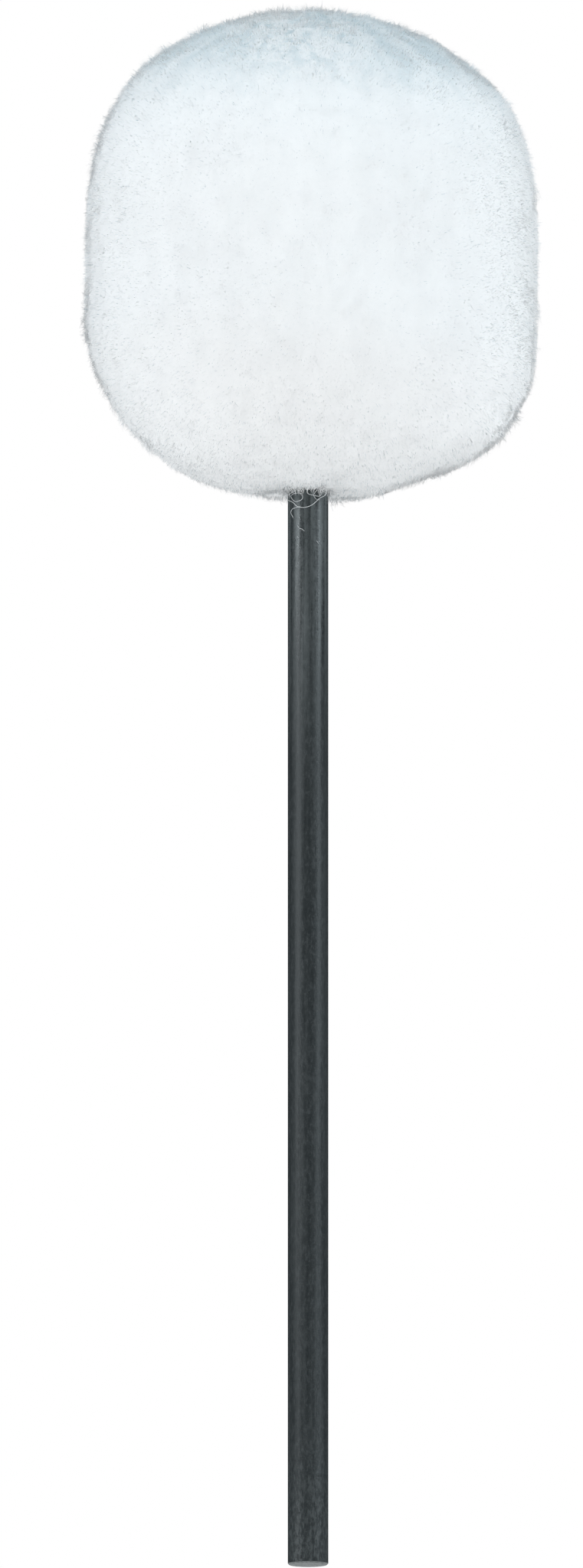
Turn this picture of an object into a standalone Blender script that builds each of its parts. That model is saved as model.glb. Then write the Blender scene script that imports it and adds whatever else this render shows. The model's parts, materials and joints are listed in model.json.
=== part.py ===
"""Bass drum beater: a steel shaft with a soft, fleece-covered head screwed on its upper end.

Frame: metres, +Z up along the shaft, origin at the centre of the shaft's flat lower end.
The head is built in layers round a hardwood core: washers and a lock nut hold the core on the shaft's
threaded stub, felt is rolled round it and domed above and below it, wadding rounds it off, and the fleece
sleeve is drawn tight over everything at the crown and at the neck.
"""

import math

import bmesh
import bpy

MM = 0.001

# --- driving dimensions -------------------------------------------------------------------------
FIT = 0.3 * MM                      # room between pieces that touch
SHAFT_RADIUS = 3.175 * MM           # quarter-inch rod
SHAFT_END_BEVEL = 0.2 * MM
SHOULDER_Z = 189.0 * MM             # where the rod is turned down to its stub
STUB_RADIUS = 2.415 * MM            # number 10 thread, 24 turns to the inch
THREAD_PITCH = 25.4 / 24 * MM
THREAD_DEPTH = 0.55 * MM
THREAD_START_Z = 214.6 * MM
SHAFT_TOP_Z = 223.4 * MM

HEAD_RADIUS = 36.15 * MM            # widest half-width over the pile
HEAD_TOP_Z = 246.3 * MM
HEAD_WIDEST_Z = 199.3 * MM
HEAD_BOTTOM_Z = 168.5 * MM
CROWN_WIDTH_POWER = 1.30            # powers of the cosine and the sine that draw the outline:
CROWN_HEIGHT_POWER = 0.47           # 1 and 1 give an ellipse, lower numbers a squarer shoulder
NECK_WIDTH_POWER = 0.93
NECK_HEIGHT_POWER = 0.82
NECK_FLAT = 0.75 * MM               # the lower curve is cut off this far up, as a flat round the neck

COVER_THICKNESS = 8.0 * MM          # backing and pile
BATTING_THICKNESS = 4.0 * MM
NECK_RADIUS = SHAFT_RADIUS + FIT

WASHER_RADIUS = 9.5 * MM
WASHER_THICKNESS = 1.2 * MM
STUB_HOLE_RADIUS = STUB_RADIUS + 0.35 * MM
CORE_RADIUS = 14.0 * MM
CORE_HEIGHT = 23.0 * MM
CORE_CHAMFER = 1.2 * MM
NUT_ACROSS_FLATS = 9.53 * MM        # three-eighths of an inch
NUT_HEX_HEIGHT = 3.4 * MM
NUT_HEIGHT = 6.0 * MM
NUT_COLLAR_RADIUS = 4.55 * MM
INSERT_POCKET_RADIUS = 3.9 * MM
FELT_STRIP_THICKNESS = 4.2 * MM
FELT_TURNS = 2

SEAM_ANGLE = math.radians(100.0)    # the sleeve's seam lies at the back of the head
SEAM_THREAD_RADIUS = 0.25 * MM
SEAM_STITCHES = 18
CROWN_RING_RADIUS = 3.1 * MM
CROWN_THREAD_RADIUS = 0.5 * MM
NECK_THREAD_RADIUS = 0.35 * MM
NECK_THREAD_TURNS = 3

SEGMENTS = 32                       # round soft pieces
SHAFT_SEGMENTS = 40
HARDWARE_SEGMENTS = 24

# --- heights that follow from them --------------------------------------------------------------
LOWER_WASHER_Z = SHOULDER_Z + FIT
CORE_Z = LOWER_WASHER_Z + WASHER_THICKNESS + FIT
CORE_TOP_Z = CORE_Z + CORE_HEIGHT
UPPER_WASHER_Z = CORE_TOP_Z + FIT
NUT_Z = UPPER_WASHER_Z + WASHER_THICKNESS + FIT

BATTING_OFFSET = COVER_THICKNESS + FIT
FELT_OFFSET = BATTING_OFFSET + BATTING_THICKNESS + FIT


# --- scene and small helpers --------------------------------------------------------------------
for old in list(bpy.data.objects):
    bpy.data.objects.remove(old, do_unlink=True)

parts = bpy.data.collections.new("bass_drum_beater")
cutters = bpy.data.collections.new("cutters")
bpy.context.scene.collection.children.link(parts)
bpy.context.scene.collection.children.link(cutters)

root = bpy.data.objects.new("beater_origin", None)
root.empty_display_size = 0.02
parts.objects.link(root)


def material(name, colour, roughness, metallic=0.0):
    mat = bpy.data.materials.new(name)
    mat.use_nodes = True
    shader = mat.node_tree.nodes["Principled BSDF"]
    shader.inputs["Base Color"].default_value = (*colour, 1.0)
    shader.inputs["Roughness"].default_value = roughness
    shader.inputs["Metallic"].default_value = metallic
    mat.diffuse_color = (*colour, 1.0)
    return mat


BLACK_STEEL = material("black_steel", (0.055, 0.066, 0.070), 0.38, 0.6)
FLEECE = material("white_fleece", (0.84, 0.88, 0.90), 0.95)
ZINC = material("zinc_steel", (0.62, 0.63, 0.64), 0.35, 0.9)
HARDWOOD = material("hardwood", (0.62, 0.44, 0.27), 0.60)
NYLON = material("nylon", (0.86, 0.87, 0.84), 0.45)
FELT = material("grey_felt", (0.52, 0.51, 0.48), 0.95)
WADDING = material("wadding", (0.90, 0.90, 0.87), 0.95)
THREAD = material("white_thread", (0.90, 0.91, 0.90), 0.70)


def place(obj, mat=None, at=(0.0, 0.0, 0.0)):
    """Put a piece in the model, or a cutter (no material) in its own collection."""
    obj.location = at
    if mat is None:
        cutters.objects.link(obj)
        obj.hide_render = True
        obj.display_type = "WIRE"
    else:
        parts.objects.link(obj)
        obj.data.materials.clear()
        obj.data.materials.append(mat)
    obj.parent = root
    return obj


def turned(name, profile, mat=None, loop=False, segments=SEGMENTS, at=(0.0, 0.0, 0.0)):
    """A body of revolution. profile is (radius, height) down the outer side and back up the inner one;
    loop closes it on itself for a ring, otherwise both of its ends lie on the axis."""
    mesh = bpy.data.meshes.new(name)
    count = len(profile)
    edges = [(i, i + 1) for i in range(count - 1)]
    if loop:
        edges.append((count - 1, 0))
    mesh.from_pydata([(r, 0.0, z) for r, z in profile], edges, [])
    obj = place(bpy.data.objects.new(name, mesh), mat, at)
    screw = obj.modifiers.new("Turn", "SCREW")
    screw.axis = "Z"
    screw.angle = math.tau
    screw.screw_offset = 0.0
    screw.steps = segments
    screw.render_steps = segments
    screw.use_merge_vertices = True
    screw.merge_threshold = 0.00001
    screw.use_smooth_shade = True
    return obj


def as_mesh(obj):
    """The same object with its modifiers or its curve turned into plain mesh, loose caps welded."""
    bpy.context.view_layer.update()
    evaluated = obj.evaluated_get(bpy.context.evaluated_depsgraph_get())
    mesh = bpy.data.meshes.new_from_object(evaluated)
    work = bmesh.new()
    work.from_mesh(mesh)
    bmesh.ops.remove_doubles(work, verts=work.verts, dist=0.000002)
    bmesh.ops.recalc_face_normals(work, faces=work.faces)
    work.to_mesh(mesh)
    work.free()
    name, world, homes = obj.name, obj.matrix_world.copy(), list(obj.users_collection)
    mats = [slot.material for slot in obj.material_slots]
    hidden, shown_as = obj.hide_render, obj.display_type
    bpy.data.objects.remove(obj, do_unlink=True)
    new = bpy.data.objects.new(name, mesh)
    new.name = name
    for home in homes:
        home.objects.link(new)
    if mats and mats[0] is not None:
        mesh.materials.clear()
        mesh.materials.append(mats[0])
    new.parent = root
    new.matrix_world = world
    new.hide_render, new.display_type = hidden, shown_as
    return new


def boolean(obj, tool, operation):
    mod = obj.modifiers.new(operation.title(), "BOOLEAN")
    mod.operation = operation
    mod.solver = "EXACT"
    mod.object = tool
    return mod


def wire(name, points, radius, mat=None, cyclic=False, resolution=2):
    """A round thread or a tube-shaped cutter along points."""
    curve = bpy.data.curves.new(name, "CURVE")
    curve.dimensions = "3D"
    curve.bevel_depth = radius
    curve.bevel_resolution = resolution
    curve.use_fill_caps = not cyclic
    spline = curve.splines.new("POLY")
    spline.points.add(len(points) - 1)
    for point, (x, y, z) in zip(spline.points, points):
        point.co = (x, y, z, 1.0)
    spline.use_cyclic_u = cyclic
    return place(bpy.data.objects.new(name, curve), mat)


# --- the head's outline, shared by every layer ----------------------------------------------------
QUARTER = math.pi / 2
OUTLINE_STEPS = 11                  # from the widest point to either pole
OUTLINE_TURNS = [QUARTER * (i / OUTLINE_STEPS) ** 1.5 for i in range(OUTLINE_STEPS + 1)]
OUTLINE_TURNS = [-turn for turn in reversed(OUTLINE_TURNS[1:])] + OUTLINE_TURNS


def half(offset, upper):
    """(half-width, height, width power, height power) of one half of the outline moved inwards by offset."""
    wide = HEAD_RADIUS - offset
    if upper:
        return wide, HEAD_TOP_Z - HEAD_WIDEST_Z - offset, CROWN_WIDTH_POWER, CROWN_HEIGHT_POWER
    tall = HEAD_WIDEST_Z - HEAD_BOTTOM_Z + NECK_FLAT - offset
    return wide, tall, NECK_WIDTH_POWER, NECK_HEIGHT_POWER


def outline(offset, turn):
    """(radius, height) on the head's outline moved inwards by offset.
    turn runs from 90 degrees at the crown, through 0 at the widest point, to -90 at the neck."""
    wide, tall, width_power, height_power = half(offset, turn >= 0.0)
    side = 1.0 if turn >= 0.0 else -1.0
    radius = 0.0 if abs(turn) > QUARTER - 1e-6 else wide * math.cos(turn) ** width_power
    height = HEAD_WIDEST_Z + side * tall * abs(math.sin(turn)) ** height_power
    return radius, height


def turn_at_height(offset, height):
    upper = height >= HEAD_WIDEST_Z
    tall, power = half(offset, upper)[1], half(offset, upper)[3]
    turn = math.asin(min(1.0, abs(height - HEAD_WIDEST_Z) / tall) ** (1.0 / power))
    return turn if upper else -turn


def turn_at_radius(offset, radius, upper):
    wide, power = half(offset, upper)[0], half(offset, upper)[2]
    turn = math.acos(min(1.0, radius / wide) ** (1.0 / power))
    return turn if upper else -turn


def outline_points(offset, start, end):
    """Points from one turn to another. Every layer uses the same turns between, so its faces run parallel."""
    between = [turn for turn in OUTLINE_TURNS if min(start, end) + 0.02 < turn < max(start, end) - 0.02]
    if start > end:
        between.reverse()
    return [outline(offset, turn) for turn in [start, *between, end]]


def neck_turn(offset):
    """Where the layer ends below: at the flat round the neck."""
    return turn_at_height(offset, HEAD_BOTTOM_Z + offset)



# --- shaft ------------------------------------------------------------------------------------------
# A plain rod with a faced lower end. Inside the head it steps down to a stub with a rolled thread.
thread_rows = int((SHAFT_TOP_Z - 0.5 * MM - THREAD_START_Z) / (THREAD_PITCH / 3.0))
shaft_profile = [(0.0, SHAFT_TOP_Z), (STUB_RADIUS - 0.7 * MM, SHAFT_TOP_Z)]
for row in range(thread_rows + 1):
    height = SHAFT_TOP_Z - 0.5 * MM - row * THREAD_PITCH / 3.0
    shaft_profile.append((STUB_RADIUS, height))
shaft_profile += [
    (STUB_RADIUS, SHOULDER_Z + 0.15 * MM),
    (STUB_RADIUS + 0.10 * MM, SHOULDER_Z),
    (SHAFT_RADIUS - 0.15 * MM, SHOULDER_Z),
    (SHAFT_RADIUS, SHOULDER_Z - 0.15 * MM),
    (SHAFT_RADIUS, SHAFT_END_BEVEL),
    (SHAFT_RADIUS - SHAFT_END_BEVEL, 0.0),
    (0.0, 0.0),
]
shaft = as_mesh(turned("shaft", shaft_profile, BLACK_STEEL, segments=SHAFT_SEGMENTS))
thread_end = SHAFT_TOP_Z - 0.5 * MM
for vertex in shaft.data.vertices:
    x, y, z = vertex.co
    if THREAD_START_Z < z <= thread_end + 1e-7 and math.hypot(x, y) > STUB_RADIUS * 0.98:
        phase = (z / THREAD_PITCH - math.atan2(y, x) / math.tau) % 1.0
        groove = 1.0 - abs(2.0 * phase - 1.0)
        fade = min(1.0, (z - THREAD_START_Z) / (1.5 * THREAD_PITCH))
        scale = (STUB_RADIUS - THREAD_DEPTH * groove * fade) / math.hypot(x, y)
        vertex.co = (x * scale, y * scale, z)
shaft.data.shade_smooth()
shaft.data.set_sharp_from_angle(angle=math.radians(35.0))


# --- washers, core, lock nut -------------------------------------------------------------------------
def washer(name, height):
    edge = 0.15 * MM
    outer, inner, thick = WASHER_RADIUS, STUB_HOLE_RADIUS, WASHER_THICKNESS
    return turned(
        name,
        [
            (outer - edge, thick), (outer, thick - edge), (outer, edge), (outer - edge, 0.0),
            (inner + edge, 0.0), (inner, edge), (inner, thick - edge), (inner + edge, thick),
        ],
        ZINC, loop=True, segments=HARDWARE_SEGMENTS, at=(0.0, 0.0, height),
    )


washer("lower_washer", LOWER_WASHER_Z)
washer("upper_washer", UPPER_WASHER_Z)

turned(
    "core",
    [
        (CORE_RADIUS - CORE_CHAMFER, CORE_HEIGHT),
        (CORE_RADIUS, CORE_HEIGHT - CORE_CHAMFER),
        (CORE_RADIUS, CORE_CHAMFER),
        (CORE_RADIUS - CORE_CHAMFER, 0.0),
        (STUB_HOLE_RADIUS + 0.5 * MM, 0.0),
        (STUB_HOLE_RADIUS, 0.5 * MM),
        (STUB_HOLE_RADIUS, CORE_HEIGHT - 0.5 * MM),
        (STUB_HOLE_RADIUS + 0.5 * MM, CORE_HEIGHT),
    ],
    HARDWOOD, loop=True, segments=HARDWARE_SEGMENTS, at=(0.0, 0.0, CORE_Z),
)

# The nut is turned first, with its collar, bore and pocket, and its six flats are then cut by a hexagon.
nut_corner = NUT_ACROSS_FLATS / math.sqrt(3.0)
insert_floor = NUT_HEX_HEIGHT + 0.4 * MM
nut = turned(
    "upper_lock_nut",
    [
        (NUT_COLLAR_RADIUS - 0.5 * MM, NUT_HEIGHT),
        (NUT_COLLAR_RADIUS, NUT_HEIGHT - 0.5 * MM),
        (NUT_COLLAR_RADIUS, NUT_HEX_HEIGHT),
        (nut_corner + 0.15 * MM, NUT_HEX_HEIGHT - 0.45 * MM),
        (nut_corner + 0.15 * MM, 0.45 * MM),
        (NUT_COLLAR_RADIUS, 0.0),
        (STUB_HOLE_RADIUS + 0.3 * MM, 0.0),
        (STUB_HOLE_RADIUS, 0.3 * MM),
        (STUB_HOLE_RADIUS, insert_floor),
        (INSERT_POCKET_RADIUS, insert_floor),
        (INSERT_POCKET_RADIUS, NUT_HEIGHT),
    ],
    ZINC, loop=True, segments=HARDWARE_SEGMENTS, at=(0.0, 0.0, NUT_Z),
)
bpy.ops.mesh.primitive_cylinder_add(
    vertices=6, radius=nut_corner, depth=NUT_HEIGHT * 2.0, location=(0.0, 0.0, 0.0)
)
hexagon = bpy.context.active_object
hexagon.name = hexagon.data.name = "nut_flats"
for home in list(hexagon.users_collection):
    home.objects.unlink(hexagon)
place(hexagon, None, (0.0, 0.0, NUT_Z + NUT_HEIGHT / 2.0))
boolean(nut, hexagon, "INTERSECT")

insert_height = NUT_HEIGHT - insert_floor - 0.5 * MM
turned(
    "lock_nut_insert",
    [
        (INSERT_POCKET_RADIUS - FIT - 0.1 * MM, insert_height),
        (INSERT_POCKET_RADIUS - FIT, insert_height - 0.1 * MM),
        (INSERT_POCKET_RADIUS - FIT, 0.0),
        (STUB_HOLE_RADIUS, 0.0),
        (STUB_HOLE_RADIUS, insert_height - 0.1 * MM),
        (STUB_HOLE_RADIUS + 0.1 * MM, insert_height),
    ],
    NYLON, loop=True, segments=HARDWARE_SEGMENTS, at=(0.0, 0.0, NUT_Z + insert_floor + FIT),
)

# --- felt --------------------------------------------------------------------------------------------
pocket_radius = WASHER_RADIUS + FIT
lower_pad_top = LOWER_WASHER_Z + WASHER_THICKNESS
turned(
    "lower_felt_pad",
    outline_points(
        FELT_OFFSET, turn_at_height(FELT_OFFSET, lower_pad_top), neck_turn(FELT_OFFSET)
    )
    + [
        (NECK_RADIUS, HEAD_BOTTOM_Z + FELT_OFFSET),
        (NECK_RADIUS, SHOULDER_Z),
        (pocket_radius, SHOULDER_Z),
        (pocket_radius, lower_pad_top),
    ],
    FELT, loop=True,
)

nut_pocket = nut_corner + 0.5 * MM
upper_pad_floor = UPPER_WASHER_Z
turned(
    "upper_felt_pad",
    outline_points(FELT_OFFSET, QUARTER, turn_at_height(FELT_OFFSET, upper_pad_floor))
    + [
        (pocket_radius, upper_pad_floor),
        (pocket_radius, NUT_Z),
        (nut_pocket, NUT_Z),
        (nut_pocket, SHAFT_TOP_Z - 0.6 * MM),
        (0.0, SHAFT_TOP_Z + 1.2 * MM),
    ],
    FELT,
)

# A strip rolled round the core: its flat spiral outline is extruded, then its rim is trimmed to the outline.
roll_inner = CORE_RADIUS + FIT
roll_pitch = FELT_STRIP_THICKNESS + FIT
roll_steps = 30 * FELT_TURNS
roll_low, roll_high = CORE_Z, CORE_TOP_Z


def spiral(step, thickness):
    angle = math.tau * FELT_TURNS * step / roll_steps
    radius = roll_inner + roll_pitch * angle / math.tau + thickness
    return radius * math.cos(angle), radius * math.sin(angle)


spiral_outline = [spiral(i, 0.0) for i in range(roll_steps + 1)]
spiral_outline += [spiral(i, FELT_STRIP_THICKNESS) for i in range(roll_steps, 2, -1)]
strip = bpy.data.curves.new("felt_wrap", "CURVE")
strip.dimensions = "2D"
strip.fill_mode = "BOTH"
strip.extrude = (roll_high - roll_low) / 2.0
edge = strip.splines.new("POLY")
edge.points.add(len(spiral_outline) - 1)
for point, (x, y) in zip(edge.points, spiral_outline):
    point.co = (x, y, 0.0, 1.0)
edge.use_cyclic_u = True
felt_wrap = as_mesh(
    place(bpy.data.objects.new("felt_wrap", strip), FELT, (0.0, 0.0, (roll_low + roll_high) / 2.0))
)
envelope = turned("felt_envelope", outline_points(FELT_OFFSET, QUARTER, -QUARTER), None)
boolean(felt_wrap, envelope, "INTERSECT")

# --- batting: a cup of wadding, open at the neck, with a shallow channel for the sleeve's seam ------------
inner_offset = BATTING_OFFSET + BATTING_THICKNESS
batting = turned(
    "batting",
    outline_points(BATTING_OFFSET, QUARTER, neck_turn(BATTING_OFFSET))
    + [
        (NECK_RADIUS, HEAD_BOTTOM_Z + BATTING_OFFSET),
        (NECK_RADIUS, HEAD_BOTTOM_Z + inner_offset),
    ]
    + outline_points(inner_offset, neck_turn(inner_offset), QUARTER),
    WADDING,
)


def on_seam(offset, turn, aside=0.0):
    """A point on the seam's line, moved sideways by aside."""
    radius, height = outline(offset, turn)
    return (
        radius * math.cos(SEAM_ANGLE) - aside * math.sin(SEAM_ANGLE),
        radius * math.sin(SEAM_ANGLE) + aside * math.cos(SEAM_ANGLE),
        height,
    )


seam_high, seam_low = math.radians(70.0), math.radians(-64.0)
channel_steps = 26
channel = as_mesh(
    wire(
        "seam_channel",
        [
            on_seam(
                BATTING_OFFSET + 0.2 * MM,
                seam_high + 0.05 + (seam_low - seam_high - 0.10) * i / channel_steps,
            )
            for i in range(channel_steps + 1)
        ],
        1.25 * MM,
    )
)
boolean(batting, channel, "DIFFERENCE")

stitch_points = []
for i in range(2 * SEAM_STITCHES + 1):
    turn = seam_high + (seam_low - seam_high) * i / (2 * SEAM_STITCHES)
    stitch_points.append(on_seam(BATTING_OFFSET + 0.55 * MM, turn, 0.45 * MM * (-1) ** i))
wire("side_seam_thread", stitch_points, SEAM_THREAD_RADIUS, THREAD)

# --- fleece cover: thick pile on a backing, open only round the shaft --------------------------------------
neck_turns_height = NECK_THREAD_TURNS * (2.0 * NECK_THREAD_RADIUS + 0.25 * MM)
neck_groove_low = HEAD_BOTTOM_Z + 1.8 * MM
neck_groove_high = neck_groove_low + neck_turns_height + 2.0 * NECK_THREAD_RADIUS + 2.0 * FIT
neck_groove_radius = NECK_RADIUS + 0.35 * MM + 2.0 * NECK_THREAD_RADIUS + 2.0 * FIT
crown_pocket_radius = CROWN_RING_RADIUS + CROWN_THREAD_RADIUS + 2.0 * FIT
crown_pocket_top = HEAD_TOP_Z - COVER_THICKNESS + 2.4 * MM
turned(
    "fleece_cover",
    outline_points(0.0, QUARTER, neck_turn(0.0))
    + [
        (NECK_RADIUS, HEAD_BOTTOM_Z),
        (NECK_RADIUS, neck_groove_low),
        (neck_groove_radius, neck_groove_low),
        (neck_groove_radius, neck_groove_high),
        (NECK_RADIUS, neck_groove_high),
        (NECK_RADIUS, HEAD_BOTTOM_Z + COVER_THICKNESS),
    ]
    + outline_points(
        COVER_THICKNESS,
        neck_turn(COVER_THICKNESS),
        turn_at_radius(COVER_THICKNESS, crown_pocket_radius, upper=True),
    )
    + [(crown_pocket_radius, crown_pocket_top), (0.0, crown_pocket_top + 0.3 * MM)],
    FLEECE,
)

# --- drawn threads -----------------------------------------------------------------------------------------
crown_points = []
for i in range(28):
    angle = math.tau * i / 28
    crown_points.append((
        CROWN_RING_RADIUS * math.cos(angle),
        CROWN_RING_RADIUS * math.sin(angle),
        HEAD_TOP_Z - COVER_THICKNESS + 1.1 * MM + 0.2 * MM * math.sin(7.0 * angle),
    ))
wire("crown_gather_thread", crown_points, CROWN_THREAD_RADIUS, THREAD, cyclic=True)

neck_points = []
neck_steps = 15 * NECK_THREAD_TURNS
wind_radius = NECK_RADIUS + 0.35 * MM + NECK_THREAD_RADIUS
for i in range(neck_steps + 1):
    angle = math.tau * NECK_THREAD_TURNS * i / neck_steps
    neck_points.append((
        wind_radius * math.cos(angle),
        wind_radius * math.sin(angle),
        neck_groove_low + NECK_THREAD_RADIUS + FIT + neck_turns_height * i / neck_steps,
    ))
wire("neck_gather_thread", neck_points, NECK_THREAD_RADIUS, THREAD)
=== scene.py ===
"""The looks of a bass drum beater: a satin black steel shaft with a large soft head of white fleece.

Metres, +Z up along the shaft, the origin at the centre of the shaft's lower end, -Y towards the viewer.
"""

import math

import bpy
import numpy as np
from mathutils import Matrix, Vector, kdtree
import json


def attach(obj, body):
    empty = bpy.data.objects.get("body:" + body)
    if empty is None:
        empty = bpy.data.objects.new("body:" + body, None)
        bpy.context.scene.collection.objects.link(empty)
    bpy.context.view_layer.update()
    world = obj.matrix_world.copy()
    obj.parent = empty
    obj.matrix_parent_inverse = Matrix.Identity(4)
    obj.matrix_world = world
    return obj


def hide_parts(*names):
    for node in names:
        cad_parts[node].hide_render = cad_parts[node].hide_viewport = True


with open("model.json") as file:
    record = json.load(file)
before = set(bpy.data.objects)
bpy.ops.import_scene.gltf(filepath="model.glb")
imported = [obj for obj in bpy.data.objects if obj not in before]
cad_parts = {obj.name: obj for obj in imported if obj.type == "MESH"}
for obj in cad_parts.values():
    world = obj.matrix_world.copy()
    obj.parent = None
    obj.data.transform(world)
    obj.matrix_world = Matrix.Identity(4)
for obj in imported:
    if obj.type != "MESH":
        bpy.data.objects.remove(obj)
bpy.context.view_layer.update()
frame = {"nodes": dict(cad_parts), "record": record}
nodes = frame["nodes"]

MM = 0.001
rng = np.random.default_rng(20)

# --- camera: looking along +Y, seven degrees up from below, without perspective --------------------
PIXEL = 0.12 * MM                    # what one of the picture's 761 x 2048 pixels measures
TILT = math.radians(7.0)
CAMERA_DISTANCE = 0.6

camera_data = bpy.data.cameras.new("camera")
camera_data.type = "ORTHO"
camera_data.ortho_scale = 2048 * PIXEL
camera_data.clip_start = 0.001
camera_data.clip_end = 20.0
camera_data.dof.use_dof = False
camera = bpy.data.objects.new("camera", camera_data)
bpy.context.scene.collection.objects.link(camera)
look = Vector((0.0, math.cos(TILT), math.sin(TILT)))
aim = Vector((-2.592 * MM, 0.0, 123.29 * MM))
camera.location = aim - look * CAMERA_DISTANCE
camera.rotation_euler = (math.radians(90.0) + TILT, 0.0, 0.0)
bpy.context.scene.camera = camera
bpy.context.scene.view_settings.view_transform = "Standard"
bpy.context.scene.view_settings.look = "None"


def in_picture(px, py, depth):
    """The point at depth metres along +Y that the camera sees at a pixel of the picture."""
    across = (px - 402.1) * PIXEL
    up = (2047.0 - py) * PIXEL - 0.387 * MM
    return np.array([across, depth, (up + depth * math.sin(TILT)) / math.cos(TILT)])


# --- small helpers -----------------------------------------------------------------------------------
def smoothstep(x, low, high):
    t = np.clip((x - low) / (high - low), 0.0, 1.0)
    return t * t * (3.0 - 2.0 * t)


def lattice(ix, iy, iz, seed):
    n = (ix * 374761393 + iy * 668265263 + iz * 1440662683 + seed * 974634777) & 0xFFFFFFFF
    n = ((n ^ (n >> 13)) * 1274126177) & 0xFFFFFFFF
    n = ((n ^ (n >> 15)) * 2246822519) & 0xFFFFFFFF
    return (n ^ (n >> 16)).astype(float) / 0xFFFFFFFF * 2.0 - 1.0


def noise(points, size, seed):
    """Smooth noise from about -1 to 1 at points, with features about size metres wide."""
    p = np.asarray(points, float) / size + 1000.0
    cell = np.floor(p).astype(np.int64)
    t = p - cell
    t = t * t * t * (t * (6.0 * t - 15.0) + 10.0)
    total = np.zeros(len(p))
    for dx in (0, 1):
        for dy in (0, 1):
            for dz in (0, 1):
                w = np.ones(len(p))
                for axis, d in enumerate((dx, dy, dz)):
                    w = w * (t[:, axis] if d else 1.0 - t[:, axis])
                total += w * lattice(cell[:, 0] + dx, cell[:, 1] + dy, cell[:, 2] + dz, seed)
    return total


def unit(v):
    return v / np.maximum(np.linalg.norm(v, axis=-1, keepdims=True), 1e-12)


def mesh_object(name, points, faces_by_size, material, smooth=True, uv=None, normals=None):
    """An object from an array of points and, for each face size, an array of corner indices."""
    mesh = bpy.data.meshes.new(name)
    corners = np.concatenate([f.ravel() for f in faces_by_size]).astype(np.int32)
    counts = np.concatenate([np.full(len(f), f.shape[1]) for f in faces_by_size])
    starts = np.concatenate([[0], np.cumsum(counts)[:-1]]).astype(np.int32)
    mesh.vertices.add(len(points))
    mesh.vertices.foreach_set("co", np.asarray(points, np.float32).ravel())
    mesh.loops.add(len(corners))
    mesh.loops.foreach_set("vertex_index", corners)
    mesh.polygons.add(len(counts))
    mesh.polygons.foreach_set("loop_start", starts)
    mesh.update(calc_edges=True)
    mesh.validate()
    mesh.polygons.foreach_set("use_smooth", np.full(len(counts), smooth))
    if uv is not None:
        layer = mesh.uv_layers.new(name="OFBake")
        layer.data.foreach_set("uv", np.asarray(uv, np.float32).ravel())
    mesh.materials.append(material)
    mesh.update()
    if normals is not None:
        mesh.normals_split_custom_set_from_vertices(normals.tolist())
    obj = bpy.data.objects.new(name, mesh)
    bpy.context.scene.collection.objects.link(obj)
    return obj


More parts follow.
